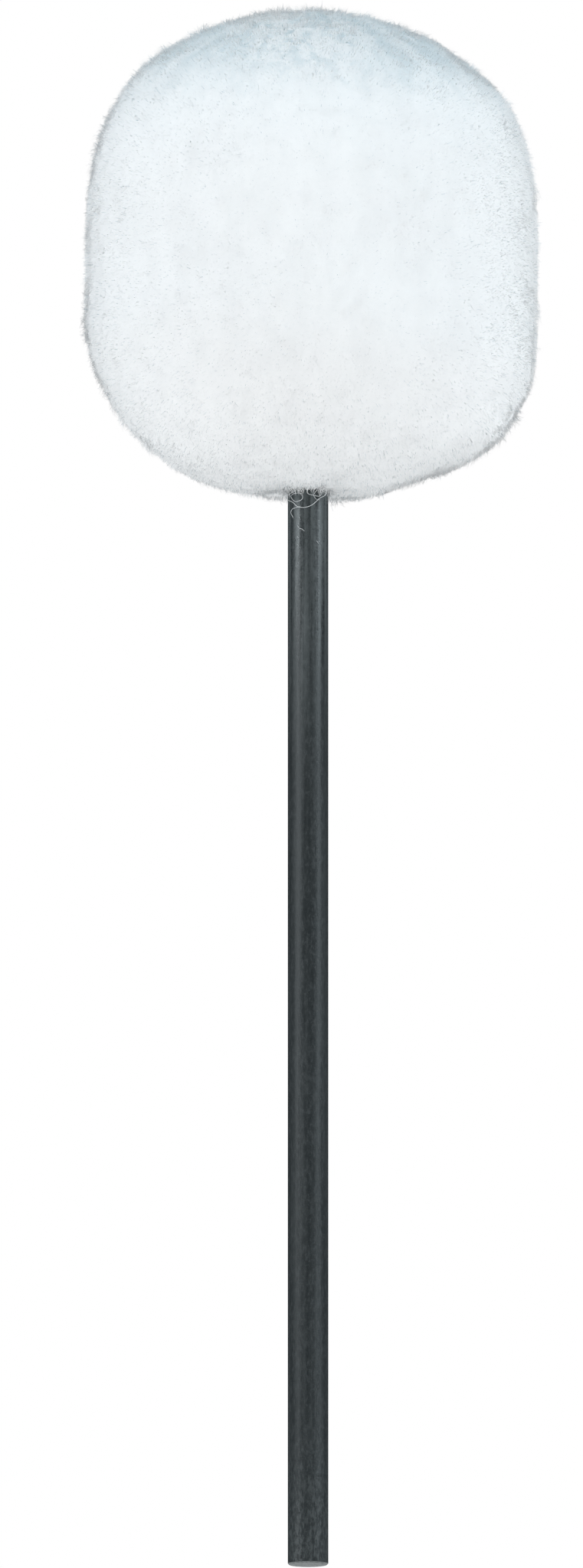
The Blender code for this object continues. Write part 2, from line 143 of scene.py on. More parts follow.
# --- materials -----------------------------------------------------------------------------------------
class Paint:
    """A node material, built up by short calls."""

    def __init__(self, name, roughness=0.5, metallic=0.0, specular=0.5):
        self.material = bpy.data.materials.new(name)
        self.material.use_nodes = True
        self.tree = self.material.node_tree
        self.shader = self.tree.nodes["Principled BSDF"]
        self.shader.inputs["Roughness"].default_value = roughness
        self.shader.inputs["Metallic"].default_value = metallic
        self.shader.inputs["Specular IOR Level"].default_value = specular
        self.where = self.tree.nodes.new("ShaderNodeTexCoord").outputs["Object"]

    def new(self, kind, **settings):
        node = self.tree.nodes.new(kind)
        for key, value in settings.items():
            setattr(node, key, value)
        return node

    def put(self, socket, value):
        if isinstance(value, bpy.types.NodeSocket):
            self.tree.links.new(value, socket)
        elif isinstance(value, tuple) and len(value) == 3 and socket.type == "RGBA":
            socket.default_value = (*value, 1.0)
        else:
            socket.default_value = value

    def scaled(self, scale, rotation=(0.0, 0.0, 0.0), at=(0.0, 0.0, 0.0)):
        node = self.new("ShaderNodeMapping")
        self.put(node.inputs["Vector"], self.where)
        node.inputs["Scale"].default_value = scale
        node.inputs["Rotation"].default_value = rotation
        node.inputs["Location"].default_value = at
        return node.outputs["Vector"]

    def noise(self, scale, detail=3.0, rough=0.55, vector=None, distortion=0.0):
        node = self.new("ShaderNodeTexNoise")
        self.put(node.inputs["Vector"], vector or self.where)
        node.inputs["Scale"].default_value = scale
        node.inputs["Detail"].default_value = detail
        node.inputs["Roughness"].default_value = rough
        node.inputs["Distortion"].default_value = distortion
        return node.outputs["Fac"]

    def cells(self, scale, vector=None, feature="F1"):
        node = self.new("ShaderNodeTexVoronoi", feature=feature)
        self.put(node.inputs["Vector"], vector or self.where)
        node.inputs["Scale"].default_value = scale
        return node.outputs["Distance"]

    def wave(self, scale, distortion, detail, vector=None, direction="X", kind="BANDS"):
        node = self.new("ShaderNodeTexWave", wave_type=kind)
        if kind == "BANDS":
            node.bands_direction = direction
        else:
            node.rings_direction = direction
        self.put(node.inputs["Vector"], vector or self.where)
        node.inputs["Scale"].default_value = scale
        node.inputs["Distortion"].default_value = distortion
        node.inputs["Detail"].default_value = detail
        return node.outputs["Fac"]

    def sum(self, operation, a, b=None, clamp=False):
        node = self.new("ShaderNodeMath", operation=operation, use_clamp=clamp)
        self.put(node.inputs[0], a)
        if b is not None:
            self.put(node.inputs[1], b)
        return node.outputs[0]

    def between(self, value, low, high, to_low=0.0, to_high=1.0):
        node = self.new("ShaderNodeMapRange", clamp=True, interpolation_type="SMOOTHSTEP")
        self.put(node.inputs["Value"], value)
        node.inputs["From Min"].default_value = low
        node.inputs["From Max"].default_value = high
        node.inputs["To Min"].default_value = to_low
        node.inputs["To Max"].default_value = to_high
        return node.outputs["Result"]

    def axis(self, name):
        node = self.new("ShaderNodeSeparateXYZ")
        self.put(node.inputs[0], self.where)
        return node.outputs[name]

    def mix(self, share, a, b, blend="MIX"):
        node = self.new("ShaderNodeMix", data_type="RGBA", blend_type=blend)
        self.put(node.inputs[0], share)
        self.put(node.inputs[6], a)
        self.put(node.inputs[7], b)
        return node.outputs[2]

    def ramp(self, value, stops):
        """A colour that runs through (place, colour) stops."""
        node = self.new("ShaderNodeValToRGB")
        self.put(node.inputs["Fac"], value)
        made = node.color_ramp.elements
        made[0].position, made[0].color = stops[0][0], (*stops[0][1], 1.0)
        made[1].position, made[1].color = stops[-1][0], (*stops[-1][1], 1.0)
        for place, colour in stops[1:-1]:
            made.new(place).color = (*colour, 1.0)
        return node.outputs["Color"]

    def colour(self, value):
        self.put(self.shader.inputs["Base Color"], value)

    def roughness(self, value):
        self.put(self.shader.inputs["Roughness"], value)

    def bump(self, height, strength, distance):
        node = self.new("ShaderNodeBump")
        node.inputs["Strength"].default_value = strength
        node.inputs["Distance"].default_value = distance
        self.put(node.inputs["Height"], height)
        self.put(self.shader.inputs["Normal"], node.outputs["Normal"])


def black_steel():
    """Blackened rod: long drawing streaks, a fine mottled speckle, small scuffs, and a bare faced end, with clamp wear
    and a painted highlight at the lower end and a painted reflection of the head, lighter towards the neck.
    """
    p = Paint("black_steel", roughness=0.42, metallic=0.32, specular=0.42)
    streaks = p.noise(1.0, 4.0, 0.6, p.scaled((1300.0, 1300.0, 26.0)))
    speckle = p.noise(3400.0, 2.0, 0.7)
    grain = p.noise(1.0, 3.0, 0.7, p.scaled((2400.0, 2400.0, 900.0)))
    blotch = p.noise(1.0, 4.0, 0.65, p.scaled((420.0, 420.0, 170.0)))
    body = p.mix(p.between(streaks, 0.35, 0.68), (0.0250, 0.0312, 0.0332), (0.0340, 0.0412, 0.0432))
    body = p.mix(p.between(grain, 0.50, 0.68, 0.0, 0.75), body, (0.044, 0.052, 0.055))
    body = p.mix(p.between(speckle, 0.54, 0.72, 0.0, 0.60), body, (0.055, 0.064, 0.067))
    body = p.mix(p.between(blotch, 0.50, 0.72, 0.0, 0.45), body, (0.042, 0.050, 0.052))
    height = p.axis("Z")
    # Lighter at the lower end: partly clamp wear, partly a painted highlight.
    clamp_wear_and_painted_highlight = p.sum("MULTIPLY", p.between(height, 0.024, 0.001), p.between(grain, 0.38, 0.62), True)
    body = p.mix(p.sum("MULTIPLY", clamp_wear_and_painted_highlight, 0.60), body, (0.080, 0.092, 0.094))
    # Lighter towards the neck: a painted reflection of the white head in the steel.
    painted_neck_reflection = p.sum("MULTIPLY", p.between(height, 0.124, 0.166), p.between(streaks, 0.25, 0.70), True)
    body = p.mix(p.sum("MULTIPLY", painted_neck_reflection, 0.85), body, (0.130, 0.150, 0.154))
    scuff_shape = p.noise(1.0, 5.0, 0.7, p.scaled((900.0, 900.0, 240.0), (0.5, 0.3, 0.0)))
    body = p.mix(p.between(scuff_shape, 0.69, 0.75, 0.0, 0.55), body, (0.16, 0.17, 0.17))
    bare = p.between(height, 0.00023, 0.00014)
    turned = p.wave(5200.0, 0.6, 1.0, direction="Z", kind="RINGS")
    steel = p.mix(p.between(turned, 0.2, 0.8), (0.15, 0.165, 0.165), (0.235, 0.25, 0.25))
    steel = p.mix(p.between(grain, 0.45, 0.62, 0.0, 0.7), steel, (0.10, 0.112, 0.112))
    p.colour(p.mix(bare, body, steel))
    rough = p.sum("ADD", p.between(streaks, 0.3, 0.7, 0.33, 0.42), p.between(grain, 0.40, 0.68, -0.04, 0.12))
    rough = p.sum("ADD", rough, p.between(height, 0.135, 0.166, 0.0, -0.09))
    p.roughness(p.sum("ADD", rough, p.between(speckle, 0.5, 0.75, 0.0, 0.12)))
    relief = p.sum("ADD", p.sum("MULTIPLY", streaks, 0.4), p.sum("MULTIPLY", grain, 0.9))
    p.bump(p.sum("ADD", relief, p.sum("MULTIPLY", speckle, 0.5)), 0.55, 0.00004)
    return p.material


def fleece(name, pile):
    """White fleece, mottled the way the pile lies, with painted shade over the crown: cooler grey where the surface
    faces up, in folds and streaks.
    """
    p = Paint(name, roughness=0.94, specular=0.10)
    lie = p.noise(1.0, 3.0, 0.55, p.scaled((230.0, 230.0, 110.0)))
    tufts = p.noise(520.0, 3.0, 0.6)
    body = p.mix(p.between(lie, 0.34, 0.66), (0.915, 0.918, 0.920), (0.946, 0.948, 0.949))
    shade = (0.855, 0.872, 0.884)
    body = p.mix(p.between(tufts, 0.50, 0.80, 0.0, 0.25), body, shade)
    # Painted shade over the crown, darker where the surface faces up; in it the tufts run towards the gather in the
    # middle, lighter and darker by turns.
    facing = p.new("ShaderNodeSeparateXYZ")
    p.put(facing.inputs[0], p.tree.nodes["Texture Coordinate"].outputs["Normal"])
    angle = p.sum("ARCTAN2", p.axis("Y"), p.axis("X"))
    radial = p.new("ShaderNodeCombineXYZ")
    p.put(radial.inputs["X"], p.sum("MULTIPLY", angle, 6.5))
    p.put(radial.inputs["Y"], p.sum("MULTIPLY", p.axis("Z"), 150.0))
    streaks = p.noise(1.0, 4.0, 0.6, radial.outputs["Vector"])
    hairs = p.noise(1.0, 3.0, 0.7, p.scaled((1500.0, 1500.0, 420.0), (0.35, 0.25, 0.0)), distortion=2.5)
    patches = p.noise(300.0, 4.0, 0.65, p.scaled((1.0, 1.0, 0.7)))
    ragged = p.sum("MULTIPLY", p.sum("SUBTRACT", patches, 0.5), 0.7)
    # Painted shade mask: where the surface faces up, with ragged edges.
    up = p.between(p.sum("ADD", facing.outputs["Z"], ragged), 0.38, 0.96)
    # Less painted shade in locks in the middle of the front, so the crown is lighter there.
    beside = p.between(p.sum("ABSOLUTE", p.sum("ADD", p.axis("X"), 0.001)), 0.004, 0.016)
    less_painted_crown_shade = p.sum("MULTIPLY", p.sum("SUBTRACT", 1.0, beside), p.between(p.axis("Y"), 0.004, -0.008))
    locks = p.noise(1.0, 4.0, 0.65, p.scaled((420.0, 420.0, 150.0), at=(3.0, 1.0, 0.0)), distortion=0.6)
    less_painted_crown_shade = p.sum("MULTIPLY", less_painted_crown_shade, p.between(locks, 0.41, 0.56, 0.0, 0.95))
    up = p.sum("MULTIPLY", up, p.sum("SUBTRACT", 1.0, less_painted_crown_shade))
    folds = p.sum("ADD", p.sum("MULTIPLY", streaks, 0.55), p.sum("MULTIPLY", patches, 0.45))
    # The painted crown shade: cool grey in folds and in fine hair lines.
    body = p.mix(p.sum("MULTIPLY", up, p.between(folds, 0.39, 0.60, 0.98, 0.18)), body, (0.53, 0.625, 0.665))
    body = p.mix(p.sum("MULTIPLY", up, p.between(hairs, 0.42, 0.60, 0.50, 0.0)), body, (0.76, 0.825, 0.85))
    if pile:
        p.colour(body)
        return p.material
    curls = p.noise(1300.0, 4.0, 0.65, distortion=0.8)
    nap = p.cells(900.0)
    p.colour(p.mix(p.between(curls, 0.46, 0.30, 0.0, 0.3), body, shade))
    p.roughness(p.between(curls, 0.3, 0.7, 0.86, 1.0))
    p.bump(p.sum("ADD", curls, p.sum("MULTIPLY", nap, 0.7)), 0.22, 0.0002)
    return p.material


def painted_shade_ends():
    """Painted shade: grey-blue ends that stand for the shaded ends of the pile."""
    p = Paint("pile_painted_shade_ends", roughness=0.9, specular=0.1)
    change = p.noise(300.0, 2.0, 0.5)
    p.colour(p.mix(p.between(change, 0.35, 0.65), (0.44, 0.52, 0.56), (0.66, 0.73, 0.77)))
    return p.material


def thread():
    """Spun cotton thread: two plies twisted together, with a little fuzz in its colour."""
    p = Paint("white_thread", roughness=0.8, specular=0.2)
    plies = p.wave(900.0, 2.0, 2.0, p.scaled((1.0, 1.0, 1.4), (0.6, 0.4, 0.2)))
    fuzz = p.noise(4200.0, 3.0, 0.6)
    body = p.mix(p.between(plies, 0.2, 0.8), (0.80, 0.83, 0.84), (0.90, 0.92, 0.93))
    p.colour(p.mix(p.between(fuzz, 0.5, 0.75, 0.0, 0.5), body, (0.72, 0.76, 0.78)))
    p.roughness(p.between(fuzz, 0.3, 0.7, 0.72, 0.92))
    p.bump(p.sum("ADD", plies, p.sum("MULTIPLY", fuzz, 0.5)), 0.5, 0.00008)
    return p.material


def zinc():
    """Bright zinc plate on washers and nut: mottled spangle, turning marks, a little dulling."""
    p = Paint("zinc_steel", roughness=0.34, metallic=0.9)
    mottle = p.noise(420.0, 4.0, 0.6)
    fine = p.noise(3000.0, 2.0, 0.6)
    marks = p.wave(2600.0, 1.5, 2.0, direction="Z", kind="RINGS")
    body = p.mix(p.between(mottle, 0.35, 0.68), (0.50, 0.51, 0.53), (0.68, 0.69, 0.70))
    p.colour(p.mix(p.between(fine, 0.58, 0.75, 0.0, 0.5), body, (0.40, 0.41, 0.42)))
    p.roughness(p.between(p.sum("ADD", p.sum("MULTIPLY", mottle, 0.7), p.sum("MULTIPLY", marks, 0.3)), 0.3, 0.7, 0.24, 0.46))
    p.bump(p.sum("ADD", marks, fine), 0.2, 0.00004)
    return p.material


def hardwood():
    """Turned beech: straight grain along the bore, short dark flecks and faint tool rings."""
    p = Paint("hardwood", roughness=0.6, specular=0.4)
    rings = p.wave(62.0, 3.5, 3.0, p.scaled((1.0, 1.0, 0.10)), direction="X")
    pores = p.noise(1.0, 4.0, 0.65, p.scaled((1500.0, 1500.0, 130.0)))
    flecks = p.noise(1.0, 2.0, 0.5, p.scaled((900.0, 900.0, 260.0)))
    body = p.mix(p.between(rings, 0.1, 0.9), (0.50, 0.33, 0.185), (0.66, 0.47, 0.29))
    body = p.mix(p.between(pores, 0.56, 0.72, 0.0, 0.6), body, (0.36, 0.22, 0.12))
    p.colour(p.mix(p.between(flecks, 0.64, 0.70, 0.0, 0.7), body, (0.30, 0.17, 0.09)))
    p.roughness(p.between(pores, 0.3, 0.7, 0.5, 0.72))
    tool = p.wave(700.0, 0.8, 1.0, direction="Z")
    p.bump(p.sum("ADD", pores, p.sum("MULTIPLY", tool, 0.4)), 0.35, 0.0001)
    return p.material


def nylon():
    """The nut's moulded locking ring: milky, faintly mottled."""
    p = Paint("nylon", roughness=0.45)
    mottle = p.noise(700.0, 3.0, 0.5)
    grain = p.noise(3600.0, 2.0, 0.6)
    p.colour(p.mix(p.between(mottle, 0.35, 0.65), (0.80, 0.81, 0.77), (0.88, 0.89, 0.86)))
    p.roughness(p.between(grain, 0.3, 0.7, 0.38, 0.55))
    p.bump(grain, 0.15, 0.00003)
    return p.material


def felt():
    """Pressed wool felt: flecked grey fibres lying every way."""
    p = Paint("grey_felt", roughness=0.95, specular=0.15)
    p.shader.inputs["Sheen Weight"].default_value = 0.15
    p.shader.inputs["Sheen Roughness"].default_value = 0.6
    hairs = p.noise(1.0, 4.0, 0.7, p.scaled((900.0, 2600.0, 1500.0), (0.5, 0.7, 0.3)), distortion=1.2)
    other = p.noise(1.0, 4.0, 0.7, p.scaled((2400.0, 900.0, 1700.0), (1.1, 0.2, 0.9)), distortion=1.2)
    mottle = p.noise(160.0, 3.0, 0.5)
    body = p.mix(p.between(mottle, 0.35, 0.65), (0.46, 0.45, 0.42), (0.56, 0.55, 0.52))
    body = p.mix(p.between(hairs, 0.55, 0.75, 0.0, 0.7), body, (0.70, 0.69, 0.66))
    p.colour(p.mix(p.between(other, 0.58, 0.76, 0.0, 0.7), body, (0.30, 0.29, 0.28)))
    p.roughness(p.between(hairs, 0.3, 0.7, 0.86, 1.0))
    p.bump(p.sum("ADD", hairs, other), 0.8, 0.0003)
    return p.material


def wadding():
    """Polyester wadding: off-white, with uneven thick and thin places and crossing fibres."""
    p = Paint("wadding", roughness=0.96, specular=0.15)
    p.shader.inputs["Sheen Weight"].default_value = 0.2
    p.shader.inputs["Sheen Roughness"].default_value = 0.5
    mottle = p.noise(120.0, 4.0, 0.6)
    hairs = p.noise(1.0, 3.0, 0.7, p.scaled((500.0, 1900.0, 900.0), (0.4, 0.2, 0.8)), distortion=1.5)
    body = p.mix(p.between(mottle, 0.3, 0.7), (0.80, 0.80, 0.77), (0.92, 0.92, 0.89))
    p.colour(p.mix(p.between(hairs, 0.55, 0.75, 0.0, 0.5), body, (0.97, 0.97, 0.95)))
    p.roughness(p.between(mottle, 0.3, 0.7, 0.9, 1.0))
    p.bump(p.sum("ADD", hairs, mottle), 0.9, 0.0006)
    return p.material


finish = {
    "black_steel": black_steel(),
    "white_thread": thread(),
    "zinc_steel": zinc(),
    "hardwood": hardwood(),
    "nylon": nylon(),
    "grey_felt": felt(),
    "wadding": wadding(),
    "white_fleece": fleece("white_fleece", False),
}
PILE = fleece("white_fleece_pile", True)
ENDS_PAINTED_SHADE = painted_shade_ends()

for part in frame["record"]["subparts"]:
    obj = nodes[part["node"]]
    obj.data.materials.clear()
    obj.data.materials.append(finish[part["material_slot"]])

# --- the shaft keeps its solid; its facets are only shaded round -------------------------------------
shaft_mesh = nodes["shaft"].data
shaft_mesh.polygons.foreach_set("use_smooth", np.ones(len(shaft_mesh.polygons), bool))
shading = []
for face in shaft_mesh.polygons:
    for corner in face.loop_indices:
        at = shaft_mesh.vertices[shaft_mesh.loops[corner].vertex_index].co
        out = Vector((at.x, at.y, 0.0))
        if out.length > 1e-6 and abs(face.normal.z) < 0.95:
            out.normalize()
            flat = Vector((face.normal.x, face.normal.y, 0.0)).length
            turned_normal = Vector((out.x * flat, out.y * flat, face.normal.z))
            shading.append(turned_normal.normalized())
        else:
            shading.append(face.normal.copy())
shaft_mesh.normals_split_custom_set([tuple(n) for n in shading])

# --- the head's outline, as the fleece cover has it in the solid model ---------------------------------
HEAD_RADIUS = 36.15 * MM
HEAD_TOP_Z = 246.3 * MM
HEAD_WIDEST_Z = 199.3 * MM
HEAD_BOTTOM_Z = 168.5 * MM
NECK_FLAT = 0.75 * MM
SHAFT_RADIUS = 3.175 * MM
NECK_RADIUS = 3.475 * MM
COVER_THICKNESS = 8.0 * MM
PILE_DEPTH = 1.45 * MM               # how far the backing lies under the tips of the pile


def outline(turn, offset):
    """Radius and height of the head's outline, from -90 degrees at the neck to 90 at the crown."""
    turn = np.asarray(turn, float)
    c = np.clip(np.cos(turn), 0.0, 1.0)
    s = np.clip(np.abs(np.sin(turn)), 0.0, 1.0)
    up = turn > 0.0
    r = (HEAD_RADIUS - offset) * np.where(up, c**1.30, c**0.93)
    z = np.where(
        up,
        HEAD_WIDEST_Z + (HEAD_TOP_Z - HEAD_WIDEST_Z - offset) * s**0.47,
        HEAD_WIDEST_Z - (HEAD_WIDEST_Z - HEAD_BOTTOM_Z + NECK_FLAT - offset) * s**0.82,
    )
    return r, np.maximum(z, HEAD_BOTTOM_Z + offset)


def meridian(offset, inner, outer_radius, count):
    """count points along the outline, evenly spaced, from radius inner at the neck to outer_radius at the crown."""
    turn = np.linspace(-math.pi / 2, math.pi / 2, 4001)
    r, z = outline(turn, offset)
    low = (turn > -1.2) | (r >= inner)
    high = (turn < 1.2) | (r >= outer_radius)
    r, z = r[low & high], z[low & high]
    length = np.concatenate([[0.0], np.cumsum(np.hypot(np.diff(r), np.diff(z)))])
    wanted = np.linspace(0.0, length[-1], count)
    return np.interp(wanted, length, r), np.interp(wanted, length, z)


def leaning(points):
    """The head isn't quite true on its shaft: it stands a little to the right, and bulges low on both sides."""
    p = points.copy()
    r = np.hypot(p[..., 0], p[..., 1])
    z = p[..., 2]
    across = p[..., 0] / np.maximum(r, 1e-9)
    low = smoothstep(z, 168.5 * MM, 178.0 * MM) * (1.0 - smoothstep(z, 186.0 * MM, 197.0 * MM))
    high = smoothstep(z, 176.0 * MM, 190.0 * MM) * (1.0 - smoothstep(z, 226.0 * MM, 240.0 * MM))
    right = np.maximum(across, 0.0) ** 2 * np.exp(-(((z - 178.0 * MM) / (5.0 * MM)) ** 2)) * 1.5
    left = np.maximum(-across, 0.0) ** 2 * np.exp(-(((z - 189.0 * MM) / (7.0 * MM)) ** 2)) * 0.70
    out = (right + left) * MM * smoothstep(r, 6.0 * MM, 24.0 * MM)
    shift = (1.10 * low + 0.50 * high) * MM * smoothstep(r, 6.0 * MM, 24.0 * MM)
    crown_left = smoothstep(z, 230.0 * MM, 239.0 * MM) * np.maximum(-across, 0.0) * smoothstep(r, 2.0 * MM, 10.0 * MM)
    p[..., 0] += shift + out * across - 0.9 * MM * crown_left
    p[..., 1] += out * p[..., 1] / np.maximum(r, 1e-9)
    return p


def gathers(angle, r, z):
    """How deep the fleece is drawn in by its gathers: soft radial folds at the crown and round the neck."""
    crown = smoothstep(z, 232.0 * MM, 243.0 * MM) * (1.0 - smoothstep(r, 9.0 * MM, 27.0 * MM))
    neck = (1.0 - smoothstep(z, 169.5 * MM, 176.0 * MM)) * (1.0 - smoothstep(r, 6.0 * MM, 23.0 * MM))
    top = np.sin(13.0 * angle + 1.1 * np.sin(3.0 * angle + 0.4)) + 0.5 * np.sin(7.0 * angle + 2.0)
    low = np.sin(9.0 * angle + 1.3 * np.sin(2.0 * angle)) + 0.6 * np.sin(5.0 * angle + 1.0)
    pinch = 1.0 - smoothstep(r, 0.0, 5.0 * MM)
    neck_left = 1.0 * np.maximum(np.cos(angle - 2.62), 0.0) * (1.0 - smoothstep(r, 5.0 * MM, 8.5 * MM))
    neck_front = 0.7 * np.maximum(-np.sin(angle), 0.0) * (1.0 - smoothstep(r, 4.5 * MM, 9.0 * MM))
    return crown * (0.26 * top + 0.12) * MM + neck * (0.30 * low - 0.15 + neck_left + neck_front) * MM + (z > 0.23) * pinch * 1.6 * MM


# --- the cover's cloth: inflated from slightly smaller, held at both gathers ---------------------------
COARSE_ROUND, COARSE_ROWS = 96, 64
coarse_r, coarse_z = meridian(PILE_DEPTH, NECK_RADIUS, 1.2 * MM, COARSE_ROWS)
coarse_angle = np.arange(COARSE_ROUND) * math.tau / COARSE_ROUND
grid_r, grid_a = np.meshgrid(coarse_r, coarse_angle, indexing="ij")
grid_z = np.repeat(coarse_z[:, None], COARSE_ROUND, axis=1)
coarse = leaning(np.stack([grid_r * np.cos(grid_a), grid_r * np.sin(grid_a), grid_z], axis=-1))


def quads(rows, around, offset=0, flip=False):
    """Corner indices of a tube of rows by around points."""
    j, i = np.meshgrid(np.arange(rows - 1), np.arange(around), indexing="ij")
    k = (i + 1) % around
    faces = np.stack([j * around + i, j * around + k, (j + 1) * around + k, (j + 1) * around + i], axis=-1)
    faces = faces.reshape(-1, 4) + offset
    return faces[:, ::-1] if flip else faces


def grid_normals(points):
    """Outward normals of a tube of points, rows by around."""
    along = np.gradient(points, axis=0)
    around = np.roll(points, -1, axis=1) - np.roll(points, 1, axis=1)
    return unit(np.cross(around, along))


def inflated(start):
    """Where the cover's points go when cloth is blown up from inside and held at its gathers."""
    pulled = start - grid_normals(start) * (gathers(grid_a, grid_r, grid_z)[..., None] * 0.6)
    rest = pulled.copy()
    rest[..., :2] *= 0.985
    cloth_points = rest.reshape(-1, 3)
    mesh = bpy.data.meshes.new("cover_cloth")
    mesh.from_pydata(cloth_points.tolist(), [], quads(COARSE_ROWS, COARSE_ROUND).tolist())
    obj = bpy.data.objects.new("cover_cloth", mesh)
    bpy.context.scene.collection.objects.link(obj)
    pins = obj.vertex_groups.new(name="pins")
    crown = (grid_z > 0.23) & (grid_r < 3.2 * MM)
    neck = (grid_z < 0.18) & (grid_r < 5.0 * MM)
    folds = (gathers(grid_a, grid_r, grid_z) > 0.62 * MM) & ((grid_r < 11.0 * MM) | (grid_z > 0.235))
    for index in np.flatnonzero((crown | neck | folds).ravel()).tolist():
        pins.add([index], 1.0, "REPLACE")
    cloth = obj.modifiers.new("Cloth", "CLOTH")
    made = cloth.settings
    made.quality = 6
    made.mass = 0.02
    made.tension_stiffness = 6.0
    made.compression_stiffness = 6.0
    made.shear_stiffness = 3.0
    made.bending_stiffness = 0.05
    made.air_damping = 4.0
    made.use_pressure = True
    made.uniform_pressure_force = 90.0
    made.shrink_min = -0.03
    made.effector_weights.gravity = 0.0
    made.vertex_group_mass = "pins"
    cloth.collision_settings.use_collision = False
    cloth.point_cache.frame_start = 1
    cloth.point_cache.frame_end = 20
    scene = bpy.context.scene
    before = scene.frame_current
    for number in range(1, 21):
        scene.frame_set(number)
    seen = obj.evaluated_get(bpy.context.evaluated_depsgraph_get())
    moved = np.empty(len(seen.data.vertices) * 3)
    seen.data.vertices.foreach_get("co", moved)
    moved = moved.reshape(start.shape)
    bpy.data.objects.remove(obj, do_unlink=True)
    bpy.data.meshes.remove(mesh)
    scene.frame_set(before)
    move = moved - rest
    length = np.linalg.norm(move, axis=-1, keepdims=True)
    print("CLOTH moved", round(float(length.max() / MM), 2), "mm at most,", round(float(length.mean() / MM), 3), "mm on average")
    cap = 2.2 * MM
    move = move * np.minimum(1.0, cap / np.maximum(length, 1e-9))
    return rest + move - start


drift = inflated(coarse)
# The head keeps the radius that the outline gives it: only the cloth's own unevenness is kept.
outwards = np.sum(drift * grid_normals(coarse), axis=-1, keepdims=True)
even = outwards.mean(axis=1, keepdims=True)
drift = drift - even * grid_normals(coarse)

# --- the fleece's backing: the cloth's shape on a fine grid, with the lumps of its pile ------------------
ROUND, ROWS = 384, 224


def finer(field, rows, around):
    """A coarse grid of vectors, closed the second way, read smoothly at a finer one."""
    j = np.linspace(0.0, field.shape[0] - 1.0, rows)
    i = np.arange(around) * field.shape[1] / around

    def weights(t):
        return np.stack([
            -0.5 * t + t**2 - 0.5 * t**3,
            1.0 - 2.5 * t**2 + 1.5 * t**3,
            0.5 * t + 2.0 * t**2 - 1.5 * t**3,
            -0.5 * t**2 + 0.5 * t**3,
        ])

    jb, ib = np.floor(j).astype(int), np.floor(i).astype(int)
    wj, wi = weights(j - jb), weights(i - ib)
    part = sum(
        wj[k][:, None, None] * field[np.clip(jb + k - 1, 0, field.shape[0] - 1)] for k in range(4)
    )
    return sum(wi[k][None, :, None] * part[:, (ib + k - 1) % field.shape[1]] for k in range(4))


fine_r, fine_z = meridian(PILE_DEPTH, NECK_RADIUS, 1.2 * MM, ROWS)
fine_angle = np.arange(ROUND) * math.tau / ROUND
fr, fa = np.meshgrid(fine_r, fine_angle, indexing="ij")
fz = np.repeat(fine_z[:, None], ROUND, axis=1)
surface = leaning(np.stack([fr * np.cos(fa), fr * np.sin(fa), fz], axis=-1))
surface_normals = grid_normals(surface)
surface = surface + finer(drift, ROWS, ROUND)
flat_points = surface.reshape(-1, 3)
stretched = flat_points * np.array([1.0, 1.0, 0.6])
lumps = (
    0.17 * noise(stretched, 8.5 * MM, 1)
    + 0.09 * noise(stretched, 3.8 * MM, 2)
    + 0.07 * noise(flat_points, 1.9 * MM, 3)
    + 0.70 * np.maximum(noise(flat_points, 1.5 * MM, 4) - 0.30, 0.0)
).reshape(ROWS, ROUND)
crown_zone = smoothstep(fz, 234.0 * MM, 242.0 * MM)
lumps = lumps + crown_zone * (
    0.22 * noise(flat_points, 3.4 * MM, 5) + 0.10 * noise(flat_points, 1.8 * MM, 6)
).reshape(ROWS, ROUND)
held = smoothstep(fr, NECK_RADIUS, 6.0 * MM)
calm_normals = grid_normals(surface)
surface = surface + surface_normals * (lumps * held * MM)[..., None]
surface_normals = grid_normals(surface)
# Light scatters through the pile, so it shows the lumps under it only faintly.
lumpy = (0.10 + 0.38 * crown_zone)[..., None]
pile_normals = unit((1.0 - lumpy) * calm_normals + lumpy * surface_normals)

inner_rows = 40
ir, iz = meridian(COVER_THICKNESS, NECK_RADIUS, 1.0 * MM, inner_rows)
ir, ia = np.meshgrid(ir, fine_angle[::4], indexing="ij")
inner = np.stack([ir * np.cos(ia), ir * np.sin(ia), np.repeat(iz[:, None], ROUND // 4, axis=1)], axis=-1)

outer_count = ROWS * ROUND
inner_count = inner_rows * (ROUND // 4)
crown_point = surface[-1].mean(axis=0, keepdims=True) - np.array([[0.0, 0.0, 0.3 * MM]])
inner_crown = inner[-1].mean(axis=0, keepdims=True)
all_points = np.concatenate([surface.reshape(-1, 3), crown_point, inner.reshape(-1, 3), inner_crown])
inner_start = outer_count + 1
i = np.arange(ROUND)
k = (i + 1) % ROUND
last = (ROWS - 1) * ROUND
crown_fan = np.stack([last + i, last + k, np.full(ROUND, outer_count)], axis=1)
i4 = np.arange(ROUND // 4)
k4 = (i4 + 1) % (ROUND // 4)
inner_last = inner_start + (inner_rows - 1) * (ROUND // 4)
inner_fan = np.stack([inner_last + k4, inner_last + i4, np.full(ROUND // 4, inner_start + inner_count)], axis=1)
